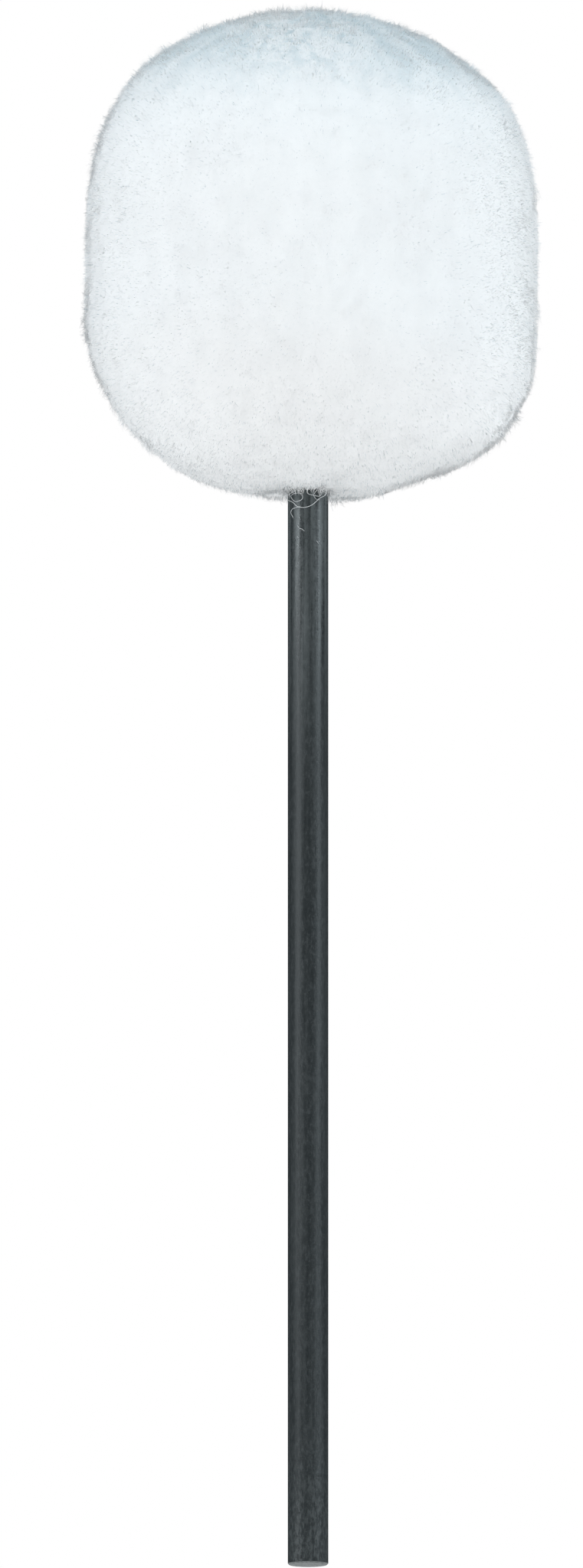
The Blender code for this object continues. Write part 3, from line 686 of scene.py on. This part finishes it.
# The neck: the fine rim of the outside meets the coarser rim of the inside, four steps to one.
neck_faces = []
for n in range(ROUND // 4):
    a, b = inner_start + n, inner_start + (n + 1) % (ROUND // 4)
    rim = [(4 * n + m) % ROUND for m in range(5)]
    neck_faces.append([rim[1], rim[0], a])
    neck_faces.append([rim[2], rim[1], a])
    neck_faces.append([b, rim[2], a])
    neck_faces.append([rim[3], rim[2], b])
    neck_faces.append([rim[4], rim[3], b])
inner_normals = -grid_normals(inner)
all_normals = np.concatenate([
    pile_normals.reshape(-1, 3), [[0.0, 0.0, 1.0]], inner_normals.reshape(-1, 3), [[0.0, 0.0, -1.0]]
])
head = mesh_object(
    "fleece_head",
    all_points,
    [
        quads(ROWS, ROUND),
        quads(inner_rows, ROUND // 4, inner_start, flip=True),
        crown_fan,
        inner_fan,
        np.array(neck_faces),
    ],
    finish["white_fleece"],
    normals=all_normals,
)
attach(head, "root")
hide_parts("fleece_cover")

# --- the pile: short curled fibres that lean on each other in small tufts ---------------------------------
PILE_PIECES = 10
FIBRES_EACH = 12000
OWN_SHADE = 0.08                     # how much of a hair's shading is its own roundness


def surface_at(row, turn):
    """Point, normal and direction up the cover at a row and a place round it, both as fractions of the grid."""
    j = np.clip(row, 0.0, ROWS - 1.001)
    jb = np.floor(j).astype(int)
    tj = (j - jb)[:, None]
    i = turn % ROUND
    ib = np.floor(i).astype(int)
    ti = (i - ib)[:, None]
    ic = (ib + 1) % ROUND

    def read(field):
        low = field[jb, ib] * (1 - ti) + field[jb, ic] * ti
        high = field[jb + 1, ib] * (1 - ti) + field[jb + 1, ic] * ti
        return low * (1 - tj) + high * tj

    along = unit(np.gradient(surface, axis=0))
    return read(surface), unit(read(surface_normals)), unit(read(along)), unit(read(pile_normals))


def scattered(count, weight=None):
    """count places on the cover, even over its area."""
    a = np.linalg.norm(np.diff(surface, axis=0), axis=-1)
    b = np.linalg.norm(np.roll(surface, -1, axis=1) - surface, axis=-1)[:-1]
    area = a * b
    if weight is not None:
        area = area * weight[:-1]
    share = np.cumsum(area.ravel())
    pick = np.searchsorted(share, rng.random(count) * share[-1])
    return pick // ROUND + rng.random(count), pick % ROUND + rng.random(count)


def turned_by(vector, axis, angle):
    """vector turned about axis by angle, for arrays of each."""
    c, s = np.cos(angle)[:, None], np.sin(angle)[:, None]
    dot = np.sum(vector * axis, axis=1, keepdims=True)
    return vector * c + np.cross(axis, vector) * s + axis * dot * (1 - c)


def fibres(name, roots, middles, uppers, tips, width, uv_at, facing, material):
    """Closed tapered three-sided hairs through four points each, with one flat side facing out of the pile.
    Light passes through such fine hairs, so they are shaded mostly as the surface that they lie on, whose normals
    are facing."""
    count = len(roots)
    spine = np.stack([roots, middles, uppers, tips], axis=1)
    way = unit(np.gradient(spine, axis=1))
    spin = math.pi / 6 + rng.normal(size=count) * 0.10
    helper = unit(facing + 0.02 * rng.normal(size=(count, 3)))
    side = unit(np.cross(helper[:, None, :], way))
    other = np.cross(way, side)
    taper = np.array([1.0, 0.95, 0.66])
    points = np.empty((count, 10, 3))
    shading = np.empty((count, 10, 3))
    for ring in range(3):
        for corner in range(3):
            angle = spin + corner * math.tau / 3
            across = side[:, ring] * np.cos(angle)[:, None] + other[:, ring] * (0.22 * np.sin(angle))[:, None]
            points[:, ring * 3 + corner] = spine[:, ring] + across * (width * 0.5 * taper[ring])[:, None]
            shading[:, ring * 3 + corner] = across
    points[:, 9] = spine[:, 3]
    shading[:, 9] = way[:, 3]
    shading = unit(shading * OWN_SHADE + facing[:, None, :] * (1.0 - OWN_SHADE))
    # The inner edge is seen only where a hair stands past the outline, and turns to the light there.
    inner_edge = unit(0.35 * facing[:, None, :] - 0.65 * other[:, :3])
    for ring in range(3):
        shading[:, ring * 3 + 2] = inner_edge[:, ring]
    base = (np.arange(count) * 10)[:, None]
    quad = []
    for ring in range(2):
        for corner in range(3):
            a, b = ring * 3 + corner, ring * 3 + (corner + 1) % 3
            quad.append([a, b, b + 3, a + 3])
    tri = [[6, 7, 9], [7, 8, 9], [8, 6, 9], [2, 1, 0]]
    quad, tri = np.array(quad), np.array(tri)
    quad_faces = (base[:, None, :] + quad[None]).reshape(-1, 4)
    tri_faces = (base[:, None, :] + tri[None]).reshape(-1, 3)
    # Each hair has its own strip of the map, where its root is on the head.
    strip = np.array([0.0, 0.0009, 0.00045])
    rise = np.array([0.0, 0.0040, 0.0070, 0.0095])
    spot = np.array([[strip[c], rise[ring]] for ring in range(3) for c in range(3)] + [[0.00045, rise[3]]])
    quad_map = uv_at[:, None, None, :] + spot[quad][None]
    tri_map = uv_at[:, None, None, :] + spot[tri][None]
    uv = np.concatenate([quad_map.reshape(-1, 2), tri_map.reshape(-1, 2)])
    return mesh_object(
        name, points.reshape(-1, 3), [quad_faces, tri_faces], material, uv=uv, normals=shading.reshape(-1, 3)
    )


total = PILE_PIECES * FIBRES_EACH
row, turn = scattered(total)
order = np.argsort(turn)              # each piece of pile covers its own sector of the head
row, turn = row[order], turn[order]
root, normal, upward, shading_normal = surface_at(row, turn)
sideways = np.cross(upward, normal)

clump_row, clump_turn = scattered(total // 8)
clump_root, clump_normal, clump_up, _ = surface_at(clump_row, clump_turn)
tree = kdtree.KDTree(len(clump_root))
for n, point in enumerate(clump_root.tolist()):
    tree.insert(point, n)
tree.balance()
clump = np.array([tree.find(point)[1] for point in root.tolist()])


def lie(points, up, out, spread):
    """Which way the pile lies: mostly down the head, swirled, with its own waywardness."""
    swirl = 0.9 * noise(points, 15.0 * MM, 11) + 0.9 * noise(points, 5.0 * MM, 12) + 0.4 * noise(points, 2.2 * MM, 13)
    return turned_by(-up, out, swirl * 1.5 + rng.normal(size=len(points)) * spread)


# The pile is short where it is drawn in at the neck, and its tips end at nearly the same height everywhere.
near_neck = (1.0 - smoothstep(np.hypot(root[:, 0], root[:, 1]), NECK_RADIUS, 10.0 * MM)) * (root[:, 2] < 0.18)
length = (1.7 + 0.9 * rng.random(total)) * MM * (1.0 + 0.18 * noise(root, 4.0 * MM, 14)) * (1.0 - 0.70 * near_neck)
height = (0.70 + 0.10 * rng.random(total) + 0.05 * noise(root, 3.0 * MM, 15)) * MM * (1.0 - 0.45 * near_neck)
direction = lie(root, upward, normal, 0.75)
tip = root + direction * (length * 0.80)[:, None] + normal * height[:, None]
clump_near = (1.0 - smoothstep(np.hypot(clump_root[:, 0], clump_root[:, 1]), NECK_RADIUS, 10.0 * MM)) * (clump_root[:, 2] < 0.18)
clump_length = 1.5 * MM * (1.0 - 0.70 * clump_near)
clump_direction = lie(clump_root, clump_up, clump_normal, 0.35)
clump_tip = clump_root + clump_direction * clump_length[:, None] + clump_normal * (
    (0.72 + 0.12 * rng.random(len(clump_root))) * MM * (1.0 - 0.45 * clump_near)
)[:, None]
drawn = (0.05 + 0.30 * rng.random(total))[:, None]
tip = tip * (1 - drawn) + clump_tip[clump] * drawn
curl = rng.normal(size=(total, 3)) * (length * 0.07)[:, None]
middle = root + normal * (height * 0.30)[:, None] + (tip - root) * 0.06 + curl * 0.5
upper = root + normal * (height * 0.26)[:, None] + (tip - root) * 0.52 - curl * 0.7
tufty = noise(root, 1.15 * MM, 16)
lift = normal * ((0.12 * tufty + 1.15 * np.maximum(tufty - 0.34, 0.0)) * MM * (1.0 - 0.6 * near_neck))[:, None]
tip = tip + lift
upper = upper + lift * 0.8
width = (0.062 + 0.040 * rng.random(total)) * MM
uv_at = np.stack([0.004 + 0.99 * turn / ROUND, 0.004 + 0.98 * row / ROWS], axis=1)
sunk = root - normal * 0.15 * MM

pile = []
for n in range(PILE_PIECES):
    part = slice(n * FIBRES_EACH, (n + 1) * FIBRES_EACH)
    piece = fibres(
        f"fleece_pile_{n + 1}", sunk[part], middle[part], upper[part], tip[part], width[part], uv_at[part],
        shading_normal[part], PILE,
    )
    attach(piece, "root")
    piece.visible_shadow = False      # white fibres this fine let the light through
    piece.visible_diffuse = False
    pile.append(piece)

# Short grey-blue ends, painted shade where the pile is shaded, stand straight up out of the pile. They show along the
# outline, where the eye looks across them, and under the head beside the shaft, where the pile parts.
ENDS_PIECES = 1
ENDS = ENDS_PIECES * FIBRES_EACH
surface_r = np.hypot(surface[..., 0], surface[..., 1])
parted = 0.35 + 0.85 * (1.0 - smoothstep(surface_r, 8.0 * MM, 14.0 * MM)) * (surface[..., 2] < 0.176)
e_row, e_turn = scattered(ENDS, parted)
order = np.argsort(e_turn)
e_row, e_turn = e_row[order], e_turn[order]
e_root, e_normal, e_up, e_shading = surface_at(e_row, e_turn)
e_near = (1.0 - smoothstep(np.hypot(e_root[:, 0], e_root[:, 1]), NECK_RADIUS, 10.0 * MM)) * (e_root[:, 2] < 0.18)
e_tufty = noise(e_root, 1.15 * MM, 16)
e_height = (0.88 + 0.10 * rng.random(ENDS)) * (1.0 - 0.35 * e_near) + 0.12 * e_tufty + 1.15 * np.maximum(e_tufty - 0.34, 0.0)
e_lean = unit(e_normal + 0.07 * rng.normal(size=(ENDS, 3)))
e_start = e_root + e_normal * 0.40 * MM
e_tip = e_root + e_lean * (e_height * MM)[:, None]
e_bow = rng.normal(size=(ENDS, 3)) * 0.02 * MM
e_uv = np.stack([0.004 + 0.99 * e_turn / ROUND, 0.004 + 0.98 * e_row / ROWS], axis=1)
e_width = (0.046 + 0.022 * rng.random(ENDS)) * MM
for n in range(ENDS_PIECES):
    part = slice(n * FIBRES_EACH, (n + 1) * FIBRES_EACH)
    ends = fibres(
        f"pile_painted_shade_ends_{n + 1}", e_start[part], (e_start * 0.66 + e_tip * 0.34 + e_bow)[part],
        (e_start * 0.3 + e_tip * 0.7)[part], e_tip[part], e_width[part], e_uv[part], e_shading[part], ENDS_PAINTED_SHADE,
    )
    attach(ends, "root")
    ends.visible_shadow = False
    ends.visible_diffuse = False

# --- round the neck the pile hangs in ragged tufts over the shaft -------------------------------------------
NECK_HAIRS = 640
around_neck = rng.random(NECK_HAIRS) * math.tau
tuft = np.round(around_neck / math.tau * 46.0) / 46.0 * math.tau + 0.09 * rng.normal(size=NECK_HAIRS)
start_r = NECK_RADIUS + (0.10 + 0.9 * rng.random(NECK_HAIRS) ** 1.5) * MM
out_dir = np.stack([np.cos(around_neck), np.sin(around_neck), np.zeros(NECK_HAIRS)], axis=1)
tuft_dir = np.stack([np.cos(tuft), np.sin(tuft), np.zeros(NECK_HAIRS)], axis=1)
neck_root = out_dir * start_r[:, None] + np.array([0.0, 0.0, 1.0]) * (HEAD_BOTTOM_Z + PILE_DEPTH + 0.6 * MM)
hang = (0.80 + 1.35 * rng.random(NECK_HAIRS) ** 1.2 + 0.22 * np.cos(7.0 * tuft + 0.5) + 0.22 * np.cos(17.0 * tuft)) * MM
reach = SHAFT_RADIUS + (0.10 + 0.45 * rng.random(NECK_HAIRS) ** 2) * MM + 0.55 * (start_r - NECK_RADIUS)
neck_tip = tuft_dir * reach[:, None] + np.array([0.0, 0.0, 1.0]) * (neck_root[:, 2] - hang)[:, None]
bow = rng.normal(size=(NECK_HAIRS, 3)) * 0.48 * MM
neck_mid = neck_root * 0.66 + neck_tip * 0.34 + out_dir * 0.30 * MM + bow
neck_up = neck_root * 0.30 + neck_tip * 0.70 + out_dir * 0.22 * MM - bow * 0.5
for points in (neck_mid, neck_up, neck_tip):
    r = np.hypot(points[:, 0], points[:, 1])
    grow = np.maximum(1.0, (SHAFT_RADIUS + 0.09 * MM) / r)
    points[:, 0] *= grow
    points[:, 1] *= grow
neck_width = (0.060 + 0.035 * rng.random(NECK_HAIRS)) * MM
neck_uv = np.stack([0.004 + 0.98 * around_neck / math.tau, 0.05 + 0.9 * rng.random(NECK_HAIRS)], axis=1)
neck_facing = unit(out_dir + np.array([0.0, 0.0, -0.6]))
neck_tufts = fibres("neck_tufts", neck_root, neck_mid, neck_up, neck_tip, neck_width, neck_uv, neck_facing, PILE)
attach(neck_tufts, "root")

# --- loose fibres that have pulled out of the neck and lie on the shaft -----------------------------------
SIDES = 5


def smooth_path(points, count):
    """count points on a smooth curve through the given ones."""
    p = np.asarray(points, float)
    p = np.vstack([2 * p[0] - p[1], p, 2 * p[-1] - p[-2]])
    out = []
    spans = len(p) - 3
    for u in np.linspace(0.0, spans - 1e-6, count):
        n = int(u)
        t = u - n
        a, b, c, d = p[n], p[n + 1], p[n + 2], p[n + 3]
        out.append(0.5 * (2 * b + (c - a) * t + (2 * a - 5 * b + 4 * c - d) * t * t + (3 * b - a - 3 * c + d) * t**3))
    return np.array(out)


def on_shaft(px, py, lift):
    """A point lift metres off the front of the shaft, where the picture shows it."""
    x = (px - 402.1) * PIXEL
    reach = SHAFT_RADIUS + lift
    depth = -math.sqrt(max(reach**2 - x**2, (0.3 * MM) ** 2))
    return in_picture(px, py, depth)


def strand(points, radius):
    """A thin closed tube with tapered ends along points."""
    way = unit(np.gradient(points, axis=0))
    side = unit(np.cross(way, np.array([0.13, 0.21, 0.97])))
    other = np.cross(way, side)
    count = len(points)
    share = np.linspace(0.0, 1.0, count)
    taper = np.minimum(1.0, 0.35 + 6.0 * np.minimum(share, 1.0 - share))
    angle = np.arange(SIDES) * math.tau / SIDES
    ring = side[:, None] * np.cos(angle)[None, :, None] + other[:, None] * np.sin(angle)[None, :, None]
    tube = points[:, None] + ring * (radius * taper)[:, None, None]
    ends = np.stack([points[0] - way[0] * radius, points[-1] + way[-1] * radius])
    verts = np.concatenate([tube.reshape(-1, 3), ends])
    body = quads(count, SIDES, flip=True)
    i = np.arange(SIDES)
    k = (i + 1) % SIDES
    first = np.stack([i, k, np.full(SIDES, count * SIDES)], axis=1)[:, ::-1]
    last = np.stack([i, k, np.full(SIDES, count * SIDES + 1)], axis=1)
    last[:, :2] += (count - 1) * SIDES
    if np.dot(np.cross(tube[1, 0] - tube[0, 0], tube[0, 1] - tube[0, 0]), tube[0, 0] - points[0]) > 0:
        pass
    return verts, body, np.concatenate([first, last])


STRANDS = [  # where each lies in the picture, how far off the shaft, and how thick
    ([(372, 646, 0.5), (374, 652, 0.4), (382, 656, 0.3), (389, 662, 0.28), (399, 662.5, 0.25), (408, 659, 0.25),
      (417, 651, 0.28), (424, 647, 0.4), (427.5, 639.5, 0.5)], 0.055),
    ([(379, 648.5, 0.3), (384, 644.6, 0.35), (393, 644.6, 0.35), (395, 650, 0.4), (392, 653.6, 0.45), (385.5, 655, 0.5),
      (381.6, 652, 0.5), (378, 646, 0.45)], 0.048),
    ([(400, 639, 0.5), (402, 644.6, 0.35), (408, 646.6, 0.3), (417, 648, 0.25), (421, 642.5, 0.4)], 0.05),
    ([(393, 661, 0.45), (388, 662.5, 0.38), (381.6, 665, 0.25), (379.7, 669.5, 0.25), (381.6, 674, 0.28), (383, 677, 0.35)], 0.043),
    ([(372, 641, 0.5), (375, 647, 0.3), (380, 644, 0.35), (388, 639, 0.5)], 0.045),
    ([(410, 638, 0.4), (409, 646, 0.3), (413, 652, 0.3), (418, 653, 0.35)], 0.04),
    ([(431, 644, 0.4), (434, 655, 0.5), (433, 662, 0.7), (435, 668, 0.9)], 0.045),
    ([(388, 686, 0.06), (391, 690, 0.10), (394, 691, 0.09), (397.6, 694, 0.07)], 0.038),
    ([(390.5, 675, 0.06), (391.5, 677, 0.08), (392, 678.5, 0.06)], 0.032),
    ([(388, 700, 0.06), (389, 702, 0.08), (390.5, 702.5, 0.06)], 0.032),
    ([(388, 710, 0.06), (389, 712, 0.08), (390, 713, 0.06)], 0.030),
    ([(413, 706, 0.06), (414.5, 708, 0.08), (415.5, 710, 0.06)], 0.032),
]
verts, bodies, caps, used = [], [], [], 0
for route, thickness in STRANDS:
    path = np.array([on_shaft(x, y, lift * MM) for x, y, lift in route])
    path = smooth_path(path, 10 * len(route))
    reach = np.hypot(path[:, 0], path[:, 1])
    least = SHAFT_RADIUS + (thickness + 0.01) * MM
    path[:, :2] *= np.maximum(1.0, least / reach)[:, None]
    v, b, c = strand(path, 0.68 * thickness * MM)
    verts.append(v)
    bodies.append(b + used)
    caps.append(c + used)
    used += len(v)
stray = mesh_object(
    "stray_fibres", np.concatenate(verts), [np.concatenate(bodies), np.concatenate(caps)], finish["white_thread"]
)
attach(stray, "root")

# --- floor and soft studio light --------------------------------------------------------------------------
def pale_floor():
    """A pale floor that glows evenly, as a lit table does, so that it is nearly the same from every side."""
    p = Paint("pale_floor", roughness=0.8, specular=0.0)
    mottle = p.noise(2.0, 3.0, 0.5)
    p.colour(p.mix(p.between(mottle, 0.3, 0.7), (0.150, 0.150, 0.150), (0.155, 0.155, 0.155)))
    p.shader.inputs["Emission Color"].default_value = (0.550, 0.570, 0.580, 1.0)
    p.shader.inputs["Emission Strength"].default_value = 1.0
    p.material.cycles.emission_sampling = "NONE"
    return p.material


FLOOR_Z = -0.11
floor_mesh = bpy.data.meshes.new("floor")
floor_mesh.from_pydata([(-6, -6, FLOOR_Z), (6, -6, FLOOR_Z), (6, 6, FLOOR_Z), (-6, 6, FLOOR_Z)], [], [(0, 1, 2, 3)])
floor_mesh.materials.append(pale_floor())
floor = bpy.data.objects.new("floor", floor_mesh)
bpy.context.scene.collection.objects.link(floor)

world = bpy.data.worlds.new("studio")
bpy.context.scene.world = world
world.use_nodes = True
tree = world.node_tree
tree.nodes.clear()


def world_node(kind, **settings):
    node = tree.nodes.new(kind)
    for key, value in settings.items():
        setattr(node, key, value)
    return node


coordinates = world_node("ShaderNodeTexCoord")
split = world_node("ShaderNodeSeparateXYZ")
tree.links.new(coordinates.outputs["Generated"], split.inputs[0])
ramp = world_node("ShaderNodeValToRGB")
rise = world_node("ShaderNodeMapRange")
rise.inputs["From Min"].default_value = -1.0
rise.inputs["From Max"].default_value = 1.0
tree.links.new(split.outputs["Z"], rise.inputs["Value"])
tree.links.new(rise.outputs["Result"], ramp.inputs["Fac"])
stops = ramp.color_ramp.elements
stops[0].position, stops[0].color = 0.0, (0.32, 0.33, 0.33, 1.0)
stops[1].position, stops[1].color = 1.0, (0.20, 0.24, 0.26, 1.0)
middle_stop = stops.new(0.5)
middle_stop.color = (0.30, 0.325, 0.335, 1.0)
sky = world_node("ShaderNodeBackground")
tree.links.new(ramp.outputs["Color"], sky.inputs["Color"])
sky.inputs["Strength"].default_value = 1.0
white = world_node("ShaderNodeBackground")
white.inputs["Color"].default_value = (1.0, 1.0, 1.0, 1.0)
white.inputs["Strength"].default_value = 1.0
path = world_node("ShaderNodeLightPath")
choose = world_node("ShaderNodeMixShader")
out = world_node("ShaderNodeOutputWorld")
dim = world_node("ShaderNodeBackground")
dim.inputs["Color"].default_value = (0.045, 0.052, 0.056, 1.0)
shine = world_node("ShaderNodeMixShader")
tree.links.new(path.outputs["Is Glossy Ray"], shine.inputs[0])
tree.links.new(sky.outputs[0], shine.inputs[1])
tree.links.new(dim.outputs[0], shine.inputs[2])
tree.links.new(path.outputs["Is Camera Ray"], choose.inputs[0])
tree.links.new(shine.outputs[0], choose.inputs[1])
tree.links.new(white.outputs[0], choose.inputs[2])
tree.links.new(choose.outputs[0], out.inputs["Surface"])


def soft_light(name, at, towards, size, power, colour=(1.0, 1.0, 1.0), glossy=True):
    data = bpy.data.lights.new(name, "AREA")
    data.shape = "RECTANGLE"
    data.size, data.size_y = size
    data.energy = power
    data.color = colour
    light = bpy.data.objects.new(name, data)
    light.location = at
    light.rotation_euler = (Vector(towards) - Vector(at)).to_track_quat("-Z", "Y").to_euler()
    light.visible_camera = False
    light.visible_glossy = glossy
    bpy.context.scene.collection.objects.link(light)
    return light


def at_side(degrees, distance, z):
    """A place round the object: degrees to the right of the camera, seen from above."""
    a = math.radians(degrees)
    return (distance * math.sin(a), -distance * math.cos(a), z)


HEAD_MIDDLE = (0.0, 0.0, 0.205)
# The head is lit softly from both sides, from below and from high in front.
soft_light("left", at_side(-105.0, 1.0, 0.12), HEAD_MIDDLE, (0.9, 0.9), 1.6, (0.74, 0.90, 1.0), glossy=False)
soft_light("right", at_side(105.0, 1.0, 0.12), HEAD_MIDDLE, (0.9, 0.9), 1.95, (0.80, 0.92, 1.0), glossy=False)
soft_light("above", (0.0, -0.45, 1.25), HEAD_MIDDLE, (1.0, 0.8), 6.6, (0.80, 0.92, 0.985), glossy=False)
soft_light("below", (0.0, 0.0, -0.10), HEAD_MIDDLE, (0.9, 0.9), 0.48, (1.0, 0.965, 0.93), glossy=False)
soft_light("front_left", at_side(-40.0, 1.2, 0.25), HEAD_MIDDLE, (0.8, 0.8), 0.7, (1.0, 0.86, 0.76), glossy=False)
soft_light("front_right", at_side(40.0, 1.2, 0.25), HEAD_MIDDLE, (0.8, 0.8), 0.4, (1.0, 0.86, 0.76), glossy=False)
soft_light("low_right", at_side(45.0, 0.8, -0.05), HEAD_MIDDLE, (0.6, 0.5), 0.4, (1.0, 0.86, 0.80), glossy=False)
soft_light("front", at_side(0.0, 1.2, 0.25), HEAD_MIDDLE, (0.8, 0.8), 1.0, (0.97, 0.985, 0.99), glossy=False)
# A soft box on each side lights the head. Two more beside each, seen only in the steel, give the shaft its long
# highlights, brighter towards the neck.
for part, share, soft, z in (("", 0.70, True, 0.20), ("_low", 0.46, False, 0.20), ("_high", 2.6, False, 0.60)):
    left_box = soft_light(
        "left_box" + part, at_side(-59.0, 0.75, z), (0.0, 0.0, 0.15), (0.42, 0.7), 2.6 * share, (0.97, 0.98, 1.0)
    )
    right_box = soft_light(
        "right_box" + part, at_side(65.0, 0.75, z), (0.0, 0.0, 0.15), (0.34, 0.7), 2.45 * share, (0.90, 0.96, 1.0)
    )
    for box in (left_box, right_box):
        box.visible_diffuse = soft
        box.visible_glossy = not soft
